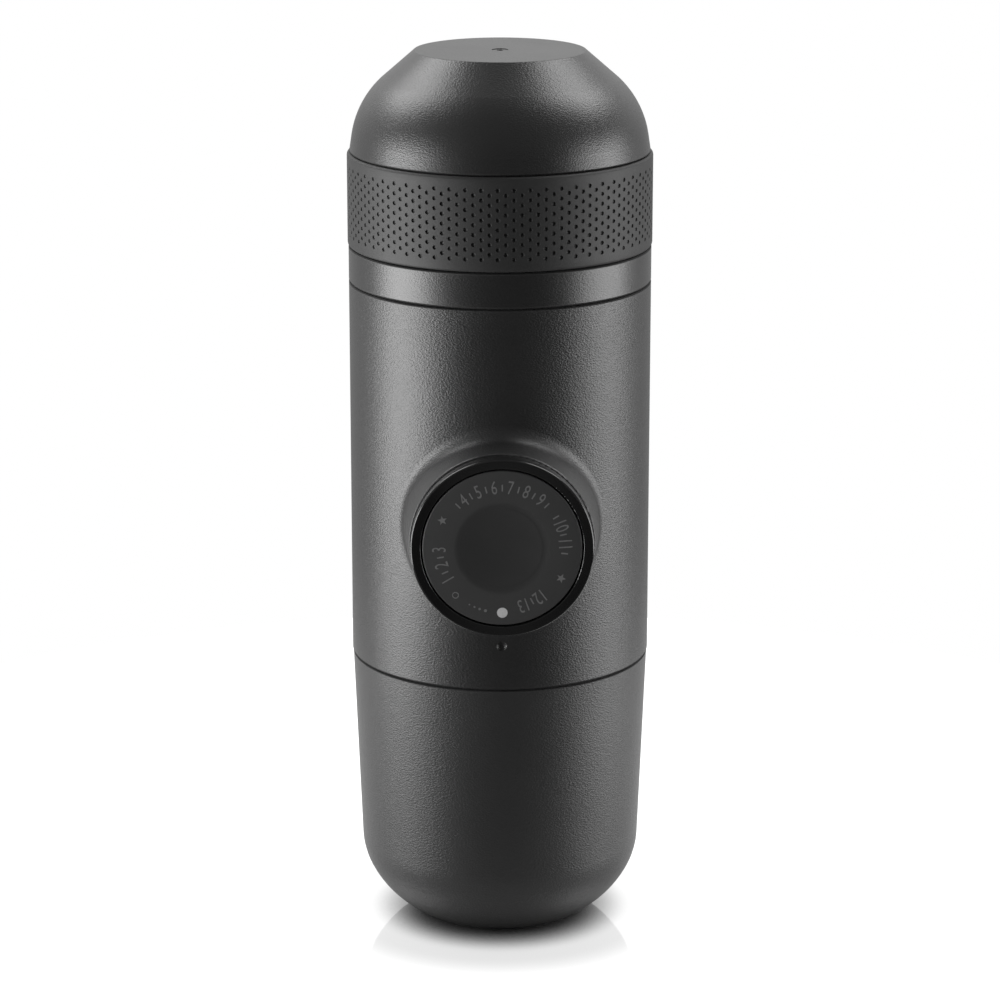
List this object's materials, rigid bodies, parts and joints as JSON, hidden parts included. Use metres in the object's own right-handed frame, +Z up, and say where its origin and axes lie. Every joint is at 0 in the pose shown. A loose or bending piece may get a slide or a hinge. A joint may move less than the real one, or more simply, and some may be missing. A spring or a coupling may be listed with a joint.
{
  "type": "handheld manual espresso maker",
  "caption": "Pill-shaped hand-pumped espresso maker: water tank, casing with a push-and-turn pump knob, dimpled grip ring, outlet head and a domed cup as its cap.",
  "frame": {"origin": "middle of the water tank's flat base, on the axis of the round casing", "axes": "+Z up along the casing's axis, -Y the way the pump knob faces"},
  "size_m": [0.0592, 0.07, 0.175],
  "materials": {
    "casing_shell": "fine grained, satin",
    "tank_shell": "fine grained, matt",
    "cup_shell": "fine grained, satin",
    "grip_rubber": "matt, dimpled",
    "bezel_gloss": "polished",
    "dial_face": "satin, printed marks",
    "inner_plastic": "as moulded",
    "scoop_plastic": "as moulded",
    "steel": "brushed",
    "seal_rubber": "silicone, matt"
  },
  "bodies": {
    "tank": {"water_tank": "tank_shell"},
    "tank_turn_ring": {"tank_seal": "seal_rubber"},
    "main_body": {"body_shell": "casing_shell", "bezel_ring": "bezel_gloss", "base_plug": "inner_plastic", "inlet_strainer": "steel", "pump_housing": "inner_plastic", "pump_cylinder": "steel", "inlet_gasket": "seal_rubber", "outlet_gasket": "seal_rubber", "inlet_valve_seat": "inner_plastic", "inlet_valve_spring": "steel", "outlet_valve_seat": "inner_plastic", "outlet_valve_spring": "steel", "outlet_valve_cap": "inner_plastic", "housing_screws": "steel", "chamber_screws": "steel", "return_spring": "steel", "brew_chamber": "inner_plastic", "upper_collar": "casing_shell"},
    "inlet_ball": {"inlet_valve_ball": "steel"},
    "outlet_ball": {"outlet_valve_ball": "steel"},
    "piston": {"piston_rod": "inner_plastic", "piston_seals": "seal_rubber", "knob_screw": "steel"},
    "knob": {"knob_sleeve": "inner_plastic", "dial_plate": "dial_face"},
    "basket": {"filter_basket": "steel"},
    "head_turn_ring": {"head_seal": "seal_rubber"},
    "head": {"outlet_head": "inner_plastic", "grip_ring": "grip_rubber", "filter_screen": "steel", "screen_clip": "steel", "outlet_nozzle": "inner_plastic", "cup_seal": "seal_rubber"},
    "scoop_body": {"scoop": "scoop_plastic"},
    "cup_body": {"cup": "cup_shell"}
  },
  "joints": [
    {"name": "tank_unscrew", "type": "hinge", "parent": "tank", "child": "tank_turn_ring", "pos_m": [0, 0, 0.0458], "axis": [0, 0, 1], "range_deg": [0, 90]},
    {"name": "body_lift", "type": "slide", "parent": "tank_turn_ring", "child": "main_body", "axis": [0, 0, 1], "range_m": [0, 0.03]},
    {"name": "knob_slide", "type": "slide", "parent": "main_body", "child": "piston", "axis": [0, -1, 0], "range_m": [0, 0.022], "deforming": ["return_spring"]},
    {"name": "knob_turn", "type": "hinge", "parent": "piston", "child": "knob", "pos_m": [0, -0.0404, 0.08693], "axis": [0, -1, 0], "range_deg": [0, 45]},
    {"name": "inlet_valve_lift", "type": "slide", "parent": "main_body", "child": "inlet_ball", "axis": [0, 0, 1], "range_m": [0, 0.001], "stiffness_N_per_m": 20, "deforming": ["inlet_valve_spring"]},
    {"name": "outlet_valve_lift", "type": "slide", "parent": "main_body", "child": "outlet_ball", "axis": [0, 0, 1], "range_m": [0, 0.001], "stiffness_N_per_m": 20, "deforming": ["outlet_valve_spring"]},
    {"name": "basket_lift", "type": "slide", "parent": "main_body", "child": "basket", "axis": [0, 0, 1], "range_m": [0, 0.02]},
    {"name": "head_unscrew", "type": "hinge", "parent": "main_body", "child": "head_turn_ring", "pos_m": [0, 0, 0.1468], "axis": [0, 0, 1], "range_deg": [0, 90]},
    {"name": "head_lift", "type": "slide", "parent": "head_turn_ring", "child": "head", "axis": [0, 0, 1], "range_m": [0, 0.05]},
    {"name": "scoop_lift", "type": "slide", "parent": "head", "child": "scoop_body", "axis": [0, 0, 1], "range_m": [0, 0.02]},
    {"name": "cup_lift", "type": "slide", "parent": "head", "child": "cup_body", "axis": [0, 0, 1], "range_m": [0, 0.05]}
  ],
  "couplings": [
    {"joint": "basket_lift", "follows": "head_lift", "ratio": 0.4},
    {"joint": "scoop_lift", "follows": "cup_lift", "ratio": 0.4}
  ]
}
